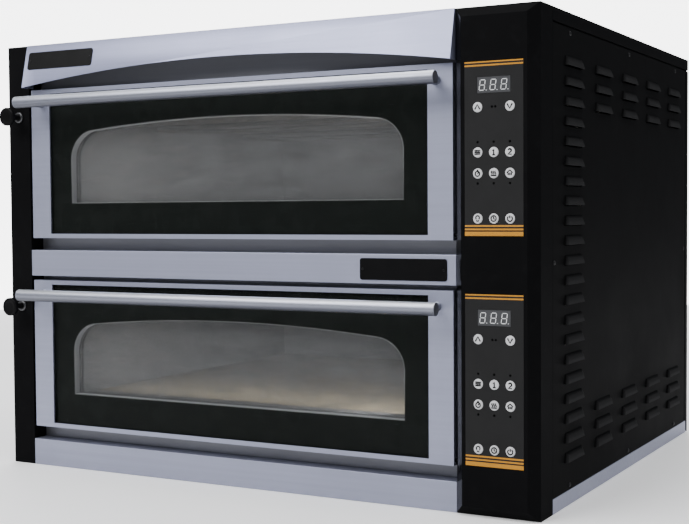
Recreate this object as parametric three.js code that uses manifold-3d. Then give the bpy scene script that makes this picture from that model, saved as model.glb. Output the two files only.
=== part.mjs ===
// Countertop pizza oven: two stacked electric decks in one sheet-metal casing.
// Units are millimetres, +X is the oven's right, +Y its back and +Z up.
// The origin is the centre of the underside, so the front plane is at Y = -DEPTH / 2.

import * as THREE from 'three';
import { ConvexGeometry } from 'three/addons/geometries/ConvexGeometry.js';
import { mergeVertices } from 'three/addons/utils/BufferGeometryUtils.js';
import Module from 'manifold-3d';

const wasm = await Module();
wasm.setup();

// ---------------------------------------------------------------- driving dimensions

const WIDTH = 1000;
const DEPTH = 850;
const HEIGHT = 743;
const SHEET = 1.2;                 // outer casing sheet
const THICK_SHEET = 1.5;           // bands, columns and base
const GAP = 0.3;                   // clearance between pieces that meet
const OVERRUN = 1;                 // how far a cutter or a joined block runs past the meeting face

const LEFT_COLUMN_WIDTH = 47;
const RIGHT_COLUMN_WIDTH = 131;
const COLUMN_DEPTH = 50;
const COLUMN_CHAMFER = 15;         // the control column stands this far forward

const DECK_PITCH = 335;            // upper deck above lower deck
const RECESS = 30;                 // front plate behind the front plane
const BAND_RETURN = RECESS - GAP;
const BOTTOM_BAND_HEIGHT = 46;
const MIDDLE_BAND_Z = 337.4;
const MIDDLE_BAND_HEIGHT = 45.3;

// lower deck heights; the upper deck is the same group moved up by DECK_PITCH
const DOOR_Z = 69.2;
const DOOR_HEIGHT = 260.4;
const DOOR_SIDE_GAP = 5;
const DOOR_DEPTH = 26.5;
const STILE_WIDTH = 40.8;
const RAIL_HEIGHT = 7.5;
const HINGE_Z = 77.2;
const HINGE_BACK = 6;
const STUD_RADIUS = 3;
const STUD_REACH = 12;             // hinge stud beyond the column's face
const HANDLE_Z = 305.3;
const HANDLE_BACK = -45;
const HANDLE_LENGTH = 800;
const HANDLE_RADIUS = 10;
const POST_RADIUS = 7.5;
const POST_SPREAD = 760;

const WINDOW_WIDTH = 644;
const WINDOW_Z = 130.6;
const WINDOW_HEIGHT = 138;
const WINDOW_ARCH_RADIUS = 2790;
const WINDOW_CORNER_RADIUS = 50;

const CHAMBER_SIZE = 700;
const CHAMBER_BACK = 60;
const CHAMBER_FLOOR_Z = 85;
const CHAMBER_ROOF_Z = 280;
const STONE_Z = 108;
const STONE_THICKNESS = 16;
const LEDGE_WIDTH = 20;

const GLASS_BACK = 2.5;            // glass and liner, behind the front plane
const GLASS_THICKNESS = 4;
const GLASS_LAP = 2.7;             // glass and liner under the frame's lip
const LINER_BACK = 25.5;
const INNER_GLASS_BACK = 19;

const ELEMENT_RADIUS = 4;
const ELEMENT_BEND = 75;           // radius of the heater's half turns
const ELEMENT_RUNS = 4;
const INSULATION_WRAP = 30;

const PANEL_WIDTH = 90.2;
const PANEL_HEIGHT = 250.8;
const PANEL_Z = 76;
const PANEL_THICKNESS = 3;
const PANEL_PROUD = 0.4;
const KEY_RADIUS = 7.3;
const KEY_TRAVEL = 0.8;
const KEY_SPACING = 24.8;
const KEY_FLANGE = 1.5;
const KEY_SIDES = 16;
const DISPLAY_WIDTH = 51.5;
const DISPLAY_HEIGHT = 23.7;
const DISPLAY_UP = 204.9;

// round keys on a panel: [name, column, height above the panel's lower edge]
const KEYS = [
  ['up', -1, 185.4], ['down', 1, 185.4],
  ['set', -1, 120.4], ['preset_1', 0, 120.4], ['preset_2', 1, 120.4],
  ['timer', -1, 90.2], ['floor_heat', 0, 90.2], ['roof_heat', 1, 90.2],
  ['lamp', -1, 25.2], ['clock', 0, 25.2], ['power', 1, 25.2],
];

const VENT_Z = 283;
const VENT_X = -WIDTH / 2 + LEFT_COLUMN_WIDTH / 2;
const VENT_ROD_RADIUS = 5;
const VENT_HOLE_RADIUS = 7.3;

const VISOR_LOW_Z = 668;
const VISOR_LOW_BACK = -20;        // the canopy's lower edge stands out, its top edge less
const VISOR_TOP_BACK = -3;
const VISOR_ARC_RISE = 30;

const LID_FLANGE_Z = 722.7;
const SIDE_PANEL_TOP = 720;
const SKIRT_HEIGHT = 23;
const SKIRT_BACK = 838;
const SIDE_PANEL_BACK = 826;
const REAR_WRAP_BACK = 831;
const LAP_DROP = 14;               // strips behind the seams: below a panel's top edge
const LAP_TOP = HEIGHT - 8;
const LAP_INSET = 5;               // behind the sheets, so that the groove stays deep
const GLAND_X = 430;
const GLAND_Z = 62;
const GLAND_HOLE_RADIUS = 10;

const LOUVRE_ROWS = 21;
const LOUVRE_COLUMNS = 5;
const LOUVRE_CLUSTER = 3;          // rows at the top and bottom of the short columns
const LOUVRE_FIRST_Z = 68;
const LOUVRE_ROW_PITCH = 29.75;
const LOUVRE_FIRST_BACK = 142;
const LOUVRE_COLUMN_PITCH = 147.7;

// A louvre is a hood with rounded ends, open below. Each point of its two skins is
// [distance out of the panel, height above the slit, half its width].
const HOOD_OUTSIDE = [
  [-SHEET, 0, 43], [-SHEET, 14.5, 37], [1.2, 14, 37],
  [3.4, 0, 42.6], [6.2, 0, 38], [3, 8.5, 38.5], [5.6, 5, 35], [3.8, 10.5, 33],
];
const HOOD_INSIDE = [
  [-SHEET - OVERRUN, -OVERRUN, 41], [-SHEET - OVERRUN, 11.5, 34], [4.7, -OVERRUN, 36.5], [3, 6.5, 33],
];

const LEFT = -WIDTH / 2;
const RIGHT = WIDTH / 2;
const BAY_LEFT = LEFT + LEFT_COLUMN_WIDTH;
const BAY_RIGHT = RIGHT - RIGHT_COLUMN_WIDTH;
const BAY_CENTRE = (BAY_LEFT + BAY_RIGHT) / 2;
const DOOR_SPAN = [BAY_LEFT + DOOR_SIDE_GAP, BAY_RIGHT - DOOR_SIDE_GAP];
const GLASS_SPAN = [DOOR_SPAN[0] + STILE_WIDTH, DOOR_SPAN[1] - STILE_WIDTH];
const GLASS_HEIGHTS = [DOOR_Z + RAIL_HEIGHT, DOOR_Z + DOOR_HEIGHT - RAIL_HEIGHT];
const PANEL_X = RIGHT - RIGHT_COLUMN_WIDTH / 2;
const PANEL_BACK = -COLUMN_CHAMFER - PANEL_PROUD;
const BOARD_BACK = PANEL_BACK + PANEL_THICKNESS + KEY_FLANGE + KEY_TRAVEL + 2 * GAP;

// Y of a point this far behind the front plane
const behind = (depth) => depth - DEPTH / 2;

// ---------------------------------------------------------------- finishes

const finish = (color, roughness, metalness) =>
  new THREE.MeshStandardMaterial({ color, roughness, metalness });

const BLACK_PAINT = finish(0x1b1c1f, 0.55, 0.1);
const STEEL = finish(0xa4a7b3, 0.4, 0.85);
const PALE_STEEL = finish(0xc4c7d4, 0.35, 0.85);
const DARK_STEEL = finish(0x4b4c50, 0.45, 0.7);
const CHAMBER_STEEL = finish(0x8a8b90, 0.5, 0.7);
const BRIGHT_ALUMINIUM = finish(0xd6d8de, 0.2, 0.95);
const CHROME = finish(0xd0d2d6, 0.12, 1);
const BLACK_PLASTIC = finish(0x17171a, 0.4, 0);
const OVERLAY = finish(0x2c2c2e, 0.5, 0);
const KEY_PLASTIC = finish(0xbebebe, 0.5, 0);
const DISPLAY = finish(0x8c8f92, 0.3, 0);
const STONE = finish(0xb9a67f, 0.9, 0);
const ELEMENT_STEEL = finish(0x4a4642, 0.6, 0.6);
const FIBRE = finish(0xd8d3c4, 0.95, 0);
const GLASS = new THREE.MeshStandardMaterial({
  color: 0x30343a, roughness: 0.05, metalness: 0, transparent: true, opacity: 0.35,
});

// ---------------------------------------------------------------- solid modelling helpers

// points are rounded to a micrometre, so that faces meant to meet do meet
function toSolid(geometry) {
  geometry.deleteAttribute('normal');
  geometry.deleteAttribute('uv');
  const points = geometry.attributes.position.array;
  points.forEach((value, index) => {
    points[index] = Math.round(value * 1000) / 1000;
  });
  const welded = mergeVertices(geometry, 1e-4);
  return new wasm.Manifold(new wasm.Mesh({
    numProp: 3,
    vertProperties: new Float32Array(welded.attributes.position.array),
    triVerts: new Uint32Array(welded.index.array),
  }));
}

function toMesh(name, solid, material) {
  const data = solid.getMesh();
  const geometry = new THREE.BufferGeometry();
  geometry.setAttribute('position', new THREE.BufferAttribute(data.vertProperties, 3));
  geometry.setIndex(new THREE.BufferAttribute(data.triVerts, 1));
  geometry.computeVertexNormals();
  const mesh = new THREE.Mesh(geometry, material);
  mesh.name = name;
  return mesh;
}

// box between two corners
function block([x0, x1], [y0, y1], [z0, z1]) {
  const geometry = new THREE.BoxGeometry(x1 - x0, y1 - y0, z1 - z0);
  geometry.translate((x0 + x1) / 2, (y0 + y1) / 2, (z0 + z1) / 2);
  return toSolid(geometry);
}

// an X-Z outline made solid from y0 to y1
function frontPrism(shape, [y0, y1], curveSegments = 12) {
  const geometry = new THREE.ExtrudeGeometry(shape, {
    depth: y1 - y0, bevelEnabled: false, curveSegments,
  });
  geometry.rotateX(Math.PI / 2);
  geometry.translate(0, y1, 0);
  return toSolid(geometry);
}

// a Y-Z outline made solid from x0 to x1
function sidePrism(points, [x0, x1]) {
  const shape = new THREE.Shape(points.map(([y, z]) => new THREE.Vector2(y, z)));
  const geometry = new THREE.ExtrudeGeometry(shape, { depth: x1 - x0, bevelEnabled: false });
  geometry.applyMatrix4(new THREE.Matrix4().makeBasis(
    new THREE.Vector3(0, 1, 0),
    new THREE.Vector3(0, 0, 1),
    new THREE.Vector3(1, 0, 0),
  ));
  geometry.translate(x0, 0, 0);
  return toSolid(geometry);
}

// a round bar along X
function barAlongX(radius, [x0, x1], y, z, segments = 24) {
  const geometry = new THREE.CylinderGeometry(radius, radius, x1 - x0, segments);
  geometry.rotateZ(Math.PI / 2);
  geometry.translate((x0 + x1) / 2, y, z);
  return toSolid(geometry);
}

// a round bar along Y
function barAlongY(radius, [y0, y1], x, z, segments = 24) {
  const geometry = new THREE.CylinderGeometry(radius, radius, y1 - y0, segments);
  geometry.translate(x, (y0 + y1) / 2, z);
  return toSolid(geometry);
}

// a turned piece about the Y axis, from [radius, y] points
function turned(profile, x, z, segments = 24) {
  const points = profile.map(([radius, y]) => new THREE.Vector2(radius, y));
  const geometry = new THREE.LatheGeometry(points, segments);
  geometry.translate(x, 0, z);
  return toSolid(geometry);
}

function hull(points) {
  return toSolid(new ConvexGeometry(points.map(([x, y, z]) => new THREE.Vector3(x, y, z))));
}

const join = (solids) => solids.reduce((whole, solid) => whole.add(solid));
const cut = (whole, holes) => holes.reduce((rest, hole) => rest.subtract(hole), whole);

// Outline shared by the chamber mouths and the windows: square lower corners,
// rounded upper corners and a shallow arched top. grow offsets it outwards.
function archOutline(grow = 0) {
  const half = WINDOW_WIDTH / 2 + grow;
  const bottom = WINDOW_Z - grow;
  const arch = WINDOW_ARCH_RADIUS + grow;
  const corner = WINDOW_CORNER_RADIUS + grow;
  const archCentreZ = WINDOW_Z + WINDOW_HEIGHT - WINDOW_ARCH_RADIUS;
  const cornerX = half - corner;
  const cornerZ = archCentreZ + Math.sqrt((arch - corner) ** 2 - cornerX ** 2);
  const lean = Math.atan2(cornerX, cornerZ - archCentreZ);
  const shape = new THREE.Shape();
  shape.moveTo(BAY_CENTRE - half, bottom);
  shape.lineTo(BAY_CENTRE + half, bottom);
  shape.absarc(BAY_CENTRE + cornerX, cornerZ, corner, 0, Math.PI / 2 - lean, false);
  shape.absarc(BAY_CENTRE, archCentreZ, arch, Math.PI / 2 - lean, Math.PI / 2 + lean, false);
  shape.absarc(BAY_CENTRE - cornerX, cornerZ, corner, Math.PI / 2 + lean, Math.PI, false);
  return shape;
}

const archTunnel = (grow, depths) => frontPrism(archOutline(grow), depths.map(behind), 6);

// ---------------------------------------------------------------- casing

function basePan() {
  const floorDepths = [behind(COLUMN_DEPTH + GAP), behind(DEPTH - SHEET - GAP)];
  const bandSpan = [BAY_LEFT + GAP, BAY_RIGHT - GAP];
  const skirtDepths = [behind(COLUMN_DEPTH + GAP), behind(SKIRT_BACK)];
  return join([
    block([LEFT, RIGHT], [floorDepths[0], behind(SKIRT_BACK)], [0, THICK_SHEET]),
    block([LEFT + SHEET + GAP, RIGHT - SHEET - GAP], floorDepths, [0, THICK_SHEET]),
    block(bandSpan, [behind(0), floorDepths[0] + OVERRUN], [0, THICK_SHEET]),
    block(bandSpan, [behind(0), behind(THICK_SHEET)], [0, BOTTOM_BAND_HEIGHT]),
    block(bandSpan, [behind(0), behind(BAND_RETURN)],
      [BOTTOM_BAND_HEIGHT - THICK_SHEET, BOTTOM_BAND_HEIGHT]),
    block([LEFT, LEFT + THICK_SHEET], skirtDepths, [0, SKIRT_HEIGHT]),
    block([RIGHT - THICK_SHEET, RIGHT], skirtDepths, [0, SKIRT_HEIGHT]),
  ]);
}

function middleBand() {
  const top = MIDDLE_BAND_Z + MIDDLE_BAND_HEIGHT;
  const span = [BAY_LEFT + GAP, BAY_RIGHT - GAP];
  const whole = block(span, [behind(0), behind(BAND_RETURN)], [MIDDLE_BAND_Z, top]);
  const hollow = block([span[0] - OVERRUN, span[1] + OVERRUN], [behind(THICK_SHEET), behind(RECESS)],
    [MIDDLE_BAND_Z + THICK_SHEET, top - THICK_SHEET]);
  return cut(whole, [hollow]);
}

function frontPlate() {
  const plate = block([BAY_LEFT + GAP, BAY_RIGHT - GAP], [behind(RECESS), behind(RECESS + THICK_SHEET)],
    [THICK_SHEET + GAP, HEIGHT - SHEET - GAP]);
  const mouth = archTunnel(0, [RECESS - OVERRUN, RECESS + THICK_SHEET + OVERRUN]);
  return cut(plate, [mouth, mouth.translate([0, 0, DECK_PITCH])]);
}

// stub shafts that the doors turn on, one per deck
function hingeStuds(span) {
  return [0, DECK_PITCH].map((up) =>
    barAlongX(STUD_RADIUS, span, behind(HINGE_BACK), HINGE_Z + up, 16));
}

function leftColumn() {
  const shell = cut(
    block([LEFT, BAY_LEFT], [behind(0), behind(COLUMN_DEPTH)], [0, HEIGHT]),
    [block([LEFT + THICK_SHEET, BAY_LEFT - THICK_SHEET],
      [behind(THICK_SHEET), behind(COLUMN_DEPTH + OVERRUN)], [THICK_SHEET, HEIGHT - THICK_SHEET])],
  );
  const ventHoles = [0, DECK_PITCH].map((up) =>
    barAlongY(VENT_HOLE_RADIUS, [behind(-OVERRUN), behind(THICK_SHEET + OVERRUN)], VENT_X, VENT_Z + up));
  return join([cut(shell, ventHoles), ...hingeStuds([BAY_LEFT - OVERRUN, BAY_LEFT + STUD_REACH])]);
}

// the control column's outer or inner skin: a box with a raised, chamfered front
function columnSkin(wall, backDepth) {
  const inset = COLUMN_CHAMFER + wall * Math.tan(Math.PI / 8);
  const rings = [
    [behind(wall - COLUMN_CHAMFER), inset],
    [behind(wall * Math.tan(Math.PI / 8)), wall],
    [behind(backDepth), wall],
  ];
  return hull(rings.flatMap(([y, side]) => [
    [BAY_RIGHT + side, y, side],
    [RIGHT - side, y, side],
    [BAY_RIGHT + side, y, HEIGHT - side],
    [RIGHT - side, y, HEIGHT - side],
  ]));
}

function rightColumn() {
  const panelHole = block(
    [PANEL_X - PANEL_WIDTH / 2 - GAP, PANEL_X + PANEL_WIDTH / 2 + GAP],
    [behind(-COLUMN_CHAMFER - OVERRUN), behind(-COLUMN_CHAMFER + THICK_SHEET + OVERRUN)],
    [PANEL_Z - GAP, PANEL_Z + PANEL_HEIGHT + GAP],
  );
  const shell = cut(columnSkin(0, COLUMN_DEPTH), [
    columnSkin(THICK_SHEET, COLUMN_DEPTH + OVERRUN),
    panelHole,
    panelHole.translate([0, 0, DECK_PITCH]),
  ]);
  return join([shell, ...hingeStuds([BAY_RIGHT - STUD_REACH, BAY_RIGHT + OVERRUN])]);
}

// sloping canopy over the upper door; its lower edge rises in a long arc
function visor() {
  const slope = (VISOR_TOP_BACK - VISOR_LOW_BACK) / (HEIGHT - VISOR_LOW_Z);
  const inward = SHEET * Math.hypot(1, slope);
  const foot = [behind(VISOR_LOW_BACK), VISOR_LOW_Z];
  const ridge = [behind(VISOR_TOP_BACK), HEIGHT];
  const sheet = sidePrism([
    foot,
    ridge,
    [behind(COLUMN_DEPTH), HEIGHT],
    [behind(COLUMN_DEPTH), HEIGHT - SHEET],
    [behind(VISOR_TOP_BACK + inward - SHEET * slope), HEIGHT - SHEET],
    [behind(VISOR_LOW_BACK + inward), VISOR_LOW_Z],
  ], [BAY_LEFT + GAP, BAY_RIGHT - GAP]);
  const cheekBack = behind(10);
  const cheek = [foot, ridge, [cheekBack, HEIGHT], [cheekBack, VISOR_LOW_Z]];
  const halfSpan = (BAY_RIGHT - BAY_LEFT) / 2;
  const arcHalf = halfSpan - 2 * SHEET;
  const arcRadius = (halfSpan ** 2 + VISOR_ARC_RISE ** 2) / (2 * VISOR_ARC_RISE);
  const arcCentreZ = VISOR_LOW_Z + VISOR_ARC_RISE - arcRadius;
  const lean = Math.asin(arcHalf / arcRadius);
  const underArc = new THREE.Shape();
  underArc.moveTo(BAY_CENTRE - arcHalf, VISOR_LOW_Z - 10);
  underArc.lineTo(BAY_CENTRE + arcHalf, VISOR_LOW_Z - 10);
  underArc.absarc(BAY_CENTRE, arcCentreZ, arcRadius, Math.PI / 2 - lean, Math.PI / 2 + lean, false);
  return join([
    cut(sheet, [frontPrism(underArc, [behind(VISOR_LOW_BACK - 10), behind(20)])]),
    sidePrism(cheek, [BAY_LEFT + GAP, BAY_LEFT + GAP + SHEET]),
    sidePrism(cheek, [BAY_RIGHT - GAP - SHEET, BAY_RIGHT - GAP]),
  ]);
}

function topCover() {
  const frontDepth = COLUMN_DEPTH + GAP;
  const whole = block([LEFT, RIGHT], [behind(frontDepth), behind(DEPTH)], [LID_FLANGE_Z, HEIGHT]);
  const hollow = block([LEFT + SHEET, RIGHT - SHEET],
    [behind(frontDepth - OVERRUN), behind(DEPTH - SHEET)], [LID_FLANGE_Z - OVERRUN, HEIGHT - SHEET]);
  return cut(whole, [hollow]);
}

// one pressed louvre's outer or inner skin on the right-hand side
function louvreHull(centreY, slitZ, section) {
  return hull(section.flatMap(([out, up, half]) => [
    [RIGHT + out, centreY - half, slitZ + up],
    [RIGHT + out, centreY + half, slitZ + up],
  ]));
}

// [y, z] of every louvre from firstColumn to the back; column 0, beside the controls, is full
function louvrePlaces(firstColumn) {
  const places = [];
  for (let column = firstColumn; column < LOUVRE_COLUMNS; column += 1) {
    const y = behind(LOUVRE_FIRST_BACK + LOUVRE_COLUMN_PITCH * column);
    for (let row = 0; row < LOUVRE_ROWS; row += 1) {
      const inCluster = row < LOUVRE_CLUSTER || row >= LOUVRE_ROWS - LOUVRE_CLUSTER;
      if (column === 0 || inCluster) {
        places.push([y, LOUVRE_FIRST_Z + LOUVRE_ROW_PITCH * row]);
      }
    }
  }
  return places;
}

// the right-hand side panel; the left-hand one is its mirror image
function sidePanel(firstColumn) {
  const sheet = block([RIGHT - SHEET, RIGHT], [behind(COLUMN_DEPTH + GAP), behind(SIDE_PANEL_BACK)],
    [SKIRT_HEIGHT + GAP, SIDE_PANEL_TOP]);
  const places = louvrePlaces(firstColumn);
  const hoods = places.map(([y, z]) => louvreHull(y, z, HOOD_OUTSIDE));
  const hollows = places.map(([y, z]) => louvreHull(y, z, HOOD_INSIDE));
  return join([sheet, ...hoods, ...topLap()]).subtract(join(hollows));
}

// strip behind a side panel's top edge that stands up inside the lid and closes the groove
function topLap() {
  const outer = RIGHT - LAP_INSET;
  const depths = [behind(COLUMN_DEPTH + 5), behind(SIDE_PANEL_BACK - 10)];
  const low = SIDE_PANEL_TOP - LAP_DROP;
  return [
    block([outer - SHEET, outer], depths, [low, LAP_TOP]),
    block([outer - SHEET, RIGHT - SHEET / 2], depths, [low, SIDE_PANEL_TOP - OVERRUN]),
  ];
}

function rearPanel() {
  const whole = block([LEFT, RIGHT], [behind(REAR_WRAP_BACK), behind(DEPTH)], [0, SIDE_PANEL_TOP]);
  const inside = block([LEFT + SHEET, RIGHT - SHEET],
    [behind(REAR_WRAP_BACK - OVERRUN), behind(DEPTH - SHEET)], [-OVERRUN, SIDE_PANEL_TOP + OVERRUN]);
  const skirtNotch = block([LEFT - OVERRUN, RIGHT + OVERRUN],
    [behind(REAR_WRAP_BACK - OVERRUN), behind(DEPTH - SHEET)], [-OVERRUN, SKIRT_HEIGHT + GAP]);
  const glandHole = barAlongY(GLAND_HOLE_RADIUS,
    [behind(DEPTH - SHEET - OVERRUN), behind(DEPTH + OVERRUN)], GLAND_X, GLAND_Z);
  return cut(join([
    cut(whole, [inside, skirtNotch]),
    ...rearTopLap(),
    ...[-1, 1].flatMap(rearSideLap),
  ]), [glandHole]);
}

// strip behind the rear panel's top edge that closes the groove under the lid
function rearTopLap() {
  const back = behind(DEPTH - LAP_INSET);
  const span = [LEFT + SHEET / 2, RIGHT - SHEET / 2];
  const liftSpan = [LEFT + SHEET + GAP, RIGHT - SHEET - GAP];
  const low = SIDE_PANEL_TOP - LAP_DROP;
  return [
    block(liftSpan, [back - SHEET, back], [low, LAP_TOP]),
    block(span, [back - SHEET, behind(DEPTH - SHEET / 2)], [low, SIDE_PANEL_TOP - OVERRUN]),
  ];
}

// strip on one of the rear panel's wraps that closes the groove beside the side panel
function rearSideLap(side) {
  const near = RIGHT - LAP_INSET - SHEET;
  const back = behind(REAR_WRAP_BACK + 8);
  const heights = [SKIRT_HEIGHT + 10, SIDE_PANEL_TOP - 20];
  const span = (far) => (side > 0 ? [near, far] : [-far, -near]);
  return [
    block(span(RIGHT - LAP_INSET), [behind(SIDE_PANEL_BACK - 6), back], heights),
    block(span(RIGHT - SHEET / 2), [behind(REAR_WRAP_BACK + OVERRUN), back], heights),
  ];
}

// strain relief for the mains lead, clamped through the rear panel
function cableGland() {
  const bore = 4.5;
  const shank = GLAND_HOLE_RADIUS - GAP;
  const nut = 14;
  const dome = 11;
  const tip = 8;
  const edge = 1;
  const inside = behind(DEPTH - SHEET - GAP);
  const front = inside - 8;
  const outside = behind(DEPTH + GAP);
  const nutBack = outside + 6;
  const domeBack = outside + 17;
  const back = outside + 22;
  return turned([
    [bore, front], [nut - edge, front], [nut, front + edge], [nut, inside], [shank, inside],
    [shank, outside], [nut, outside], [nut, nutBack], [dome, nutBack + edge], [dome, domeBack],
    [tip, back], [bore, back], [bore, front],
  ], GLAND_X, GLAND_Z, 16);
}

// mineral fibre wrapped round both chambers, with an air gap between the two wraps
function insulation() {
  const skin = SHEET + GAP;
  const wrap = skin + INSULATION_WRAP;
  const half = CHAMBER_SIZE / 2;
  const span = [BAY_CENTRE - half - wrap, BAY_CENTRE + half + wrap];
  const back = CHAMBER_BACK + CHAMBER_SIZE;
  const whole = block(span, [behind(RECESS + THICK_SHEET + GAP), behind(back + wrap)],
    [CHAMBER_FLOOR_Z - wrap, DECK_PITCH + CHAMBER_ROOF_Z + wrap]);
  const airGap = block([span[0] - OVERRUN, span[1] + OVERRUN],
    [behind(CHAMBER_BACK + INSULATION_WRAP), behind(back + wrap + OVERRUN)],
    [CHAMBER_ROOF_Z + wrap, DECK_PITCH + CHAMBER_FLOOR_Z - wrap]);
  const chamberSpace = block([BAY_CENTRE - half - skin, BAY_CENTRE + half + skin],
    [behind(CHAMBER_BACK - skin), behind(back + skin)],
    [CHAMBER_FLOOR_Z - skin, CHAMBER_ROOF_Z + skin]);
  const space = chamberSpace.add(archTunnel(skin, [RECESS, CHAMBER_BACK]));
  return cut(whole, [space, space.translate([0, 0, DECK_PITCH]), airGap]);
}

// ---------------------------------------------------------------- one deck

// steel liner: an open-fronted box with side ledges for the stone and an arched collar
function chamber() {
  const half = CHAMBER_SIZE / 2;
  const depths = [behind(CHAMBER_BACK), behind(CHAMBER_BACK + CHAMBER_SIZE)];
  const outer = block([BAY_CENTRE - half - SHEET, BAY_CENTRE + half + SHEET],
    [depths[0] - SHEET, depths[1] + SHEET],
    [CHAMBER_FLOOR_Z - SHEET, CHAMBER_ROOF_Z + SHEET]);
  const inner = block([BAY_CENTRE - half, BAY_CENTRE + half], depths,
    [CHAMBER_FLOOR_Z, CHAMBER_ROOF_Z]);
  const collar = archTunnel(SHEET, [RECESS + THICK_SHEET + GAP, CHAMBER_BACK - SHEET / 2]);
  const mouth = archTunnel(0, [RECESS, CHAMBER_BACK + OVERRUN]);
  const ledgeHeights = [CHAMBER_FLOOR_Z - SHEET / 2, STONE_Z - GAP];
  const ledges = [-1, 1].map((side) => {
    const wall = BAY_CENTRE + side * (half + SHEET / 2);
    const edge = BAY_CENTRE + side * (half - LEDGE_WIDTH);
    return block([Math.min(wall, edge), Math.max(wall, edge)], depths, ledgeHeights);
  });
  return join([cut(outer.add(collar), [inner, mouth]), ...ledges]);
}

function stone() {
  const play = 1;
  const half = CHAMBER_SIZE / 2 - play;
  return block([BAY_CENTRE - half, BAY_CENTRE + half],
    [behind(CHAMBER_BACK + play), behind(CHAMBER_BACK + CHAMBER_SIZE - play)],
    [STONE_Z, STONE_Z + STONE_THICKNESS]);
}

// tubular heater bent into level runs, with both ends at endX on the right
function heatingElement(z, endX) {
  const rightX = BAY_CENTRE + CHAMBER_SIZE / 2 - LEDGE_WIDTH - ELEMENT_BEND - 10;
  const leftX = BAY_CENTRE - CHAMBER_SIZE / 2 + ELEMENT_BEND + 40;
  const middleY = behind(CHAMBER_BACK + CHAMBER_SIZE / 2);
  const path = new THREE.CurvePath();
  for (let run = 0; run < ELEMENT_RUNS; run += 1) {
    const y = middleY + ELEMENT_BEND * (2 * run - ELEMENT_RUNS + 1);
    const isLast = run === ELEMENT_RUNS - 1;
    const leftwards = run % 2 === 0;
    const start = leftwards ? rightX : leftX;
    const end = leftwards ? leftX : rightX;
    path.add(new THREE.LineCurve3(
      new THREE.Vector3(run === 0 ? endX : start, y, z),
      new THREE.Vector3(isLast ? endX : end, y, z),
    ));
    if (!isLast) {
      path.add(new HalfTurn(end, y, z, ELEMENT_BEND, leftwards ? -1 : 1));
    }
  }
  const section = new THREE.Shape();
  section.absarc(0, 0, ELEMENT_RADIUS, 0, 2 * Math.PI, false);
  const geometry = new THREE.ExtrudeGeometry(section, {
    extrudePath: path, steps: 56, curveSegments: 3, bevelEnabled: false,
  });
  return toSolid(geometry);
}

// a half circle in a level plane that steps back by twice its radius
class HalfTurn extends THREE.Curve {
  constructor(x, y, z, radius, side) {
    super();
    Object.assign(this, { x, y, z, radius, side });
  }

  getPoint(t, target = new THREE.Vector3()) {
    const angle = Math.PI * t;
    return target.set(
      this.x + this.side * this.radius * Math.sin(angle),
      this.y + this.radius * (1 - Math.cos(angle)),
      this.z,
    );
  }
}

// folded frame: two hollow stiles and two slim rails, with a lip that holds the glass
function doorFrame() {
  const lip = 2.2;
  const rebate = 3;
  const cutDepths = [behind(-OVERRUN), behind(DOOR_DEPTH + OVERRUN)];
  const whole = block(DOOR_SPAN, [behind(0), behind(DOOR_DEPTH)], [DOOR_Z, DOOR_Z + DOOR_HEIGHT]);
  const opening = block(GLASS_SPAN, cutDepths, GLASS_HEIGHTS);
  const pocket = block([GLASS_SPAN[0] - rebate, GLASS_SPAN[1] + rebate], [behind(lip), cutDepths[1]],
    [GLASS_HEIGHTS[0] - rebate, GLASS_HEIGHTS[1] + rebate]);
  const hollowWidth = STILE_WIDTH - rebate - 2 * THICK_SHEET;
  const hollowStarts = [DOOR_SPAN[0] + THICK_SHEET, DOOR_SPAN[1] - THICK_SHEET - hollowWidth];
  const hollows = hollowStarts.map((x) => block([x, x + hollowWidth], [behind(THICK_SHEET), cutDepths[1]],
    [DOOR_Z + THICK_SHEET, DOOR_Z + DOOR_HEIGHT - THICK_SHEET]));
  const studHoles = DOOR_SPAN.map((x) =>
    barAlongX(STUD_RADIUS + GAP, [x - 3, x + 3], behind(HINGE_BACK), HINGE_Z, 16));
  return cut(whole, [opening, pocket, ...hollows, ...studHoles]);
}

function doorGlass() {
  return block([GLASS_SPAN[0] - GLASS_LAP, GLASS_SPAN[1] + GLASS_LAP],
    [behind(GLASS_BACK), behind(GLASS_BACK + GLASS_THICKNESS)],
    [GLASS_HEIGHTS[0] - GLASS_LAP, GLASS_HEIGHTS[1] + GLASS_LAP]);
}

// steel inner shell behind the glass: rim, back plate and arched tunnel round the window
function doorLiner() {
  const front = GLASS_BACK + GLASS_THICKNESS + GAP;
  const span = [GLASS_SPAN[0] - GLASS_LAP, GLASS_SPAN[1] + GLASS_LAP];
  const heights = [GLASS_HEIGHTS[0] - GLASS_LAP, GLASS_HEIGHTS[1] + GLASS_LAP];
  const whole = block(span, [behind(front), behind(LINER_BACK)], heights);
  const hollow = block([span[0] + SHEET, span[1] - SHEET],
    [behind(front - OVERRUN), behind(LINER_BACK - SHEET)], [heights[0] + SHEET, heights[1] - SHEET]);
  const tunnel = archTunnel(SHEET, [front, LINER_BACK - SHEET / 2]);
  const window = archTunnel(0, [front - OVERRUN, LINER_BACK + OVERRUN]);
  return cut(cut(whole, [hollow]).add(tunnel), [window]);
}

const doorInnerGlass = () => archTunnel(-GAP, [INNER_GLASS_BACK, INNER_GLASS_BACK + GLASS_THICKNESS]);

function doorHandle() {
  const half = HANDLE_LENGTH / 2;
  const centreX = BAY_CENTRE - 1;
  const bar = barAlongX(HANDLE_RADIUS, [centreX - half, centreX + half], behind(HANDLE_BACK), HANDLE_Z);
  const posts = [-1, 1].map((side) => barAlongY(POST_RADIUS, [behind(HANDLE_BACK), behind(-GAP)],
    centreX + side * POST_SPREAD / 2, HANDLE_Z, 20));
  return join([bar, ...posts]);
}

const keyX = (column) => PANEL_X + KEY_SPACING * column;

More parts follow.
